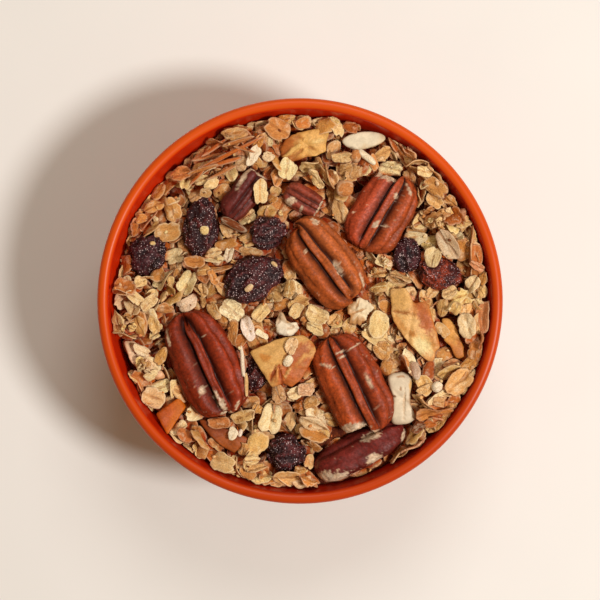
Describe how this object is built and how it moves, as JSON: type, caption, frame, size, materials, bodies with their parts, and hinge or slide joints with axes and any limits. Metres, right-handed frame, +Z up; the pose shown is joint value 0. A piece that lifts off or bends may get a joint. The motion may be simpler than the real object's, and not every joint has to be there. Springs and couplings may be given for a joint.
{
  "type": "bowl of granola",
  "caption": "Small round glazed bowl filled with toasted oat granola, topped with pecan halves, raisins, toasted coconut chips and nut pieces.",
  "frame": {"origin": "middle of the bowl's underside, on the plane that the foot ring stands on", "axes": "+Z up through the bowl's mouth; +X and +Y point to the picture's right and top"},
  "size_m": [0.125, 0.125, 0.0551],
  "materials": {
    "bowl_glaze": "gloss",
    "toasted_oats": "matte",
    "pecan_skin": "satin",
    "raisin_skin": "satin",
    "toasted_coconut": "matte",
    "pale_nut": "matte"
  },
  "bodies": {
    "root": {"bowl": "bowl_glaze", "granola_heap": "toasted_oats", "pecan_half_1": "pecan_skin", "pecan_half_2": "pecan_skin", "pecan_half_3": "pecan_skin", "pecan_half_4": "pecan_skin", "pecan_half_5": "pecan_skin", "pecan_piece_1": "pecan_skin", "pecan_piece_2": "pecan_skin", "raisin_1": "raisin_skin", "raisin_2": "raisin_skin", "raisin_3": "raisin_skin", "raisin_4": "raisin_skin", "raisin_5": "raisin_skin", "raisin_6": "raisin_skin", "raisin_7": "raisin_skin", "raisin_8": "raisin_skin", "coconut_chip_1": "toasted_coconut", "coconut_chip_2": "toasted_coconut", "coconut_chip_3": "toasted_coconut", "coconut_chip_4": "toasted_coconut", "coconut_chip_5": "toasted_coconut", "coconut_chip_6": "toasted_coconut", "coconut_chip_7": "toasted_coconut", "almond_slice": "pale_nut", "coconut_flake": "pale_nut", "coconut_piece": "pale_nut", "cashew_piece": "pale_nut"}
  },
  "joints": []
}
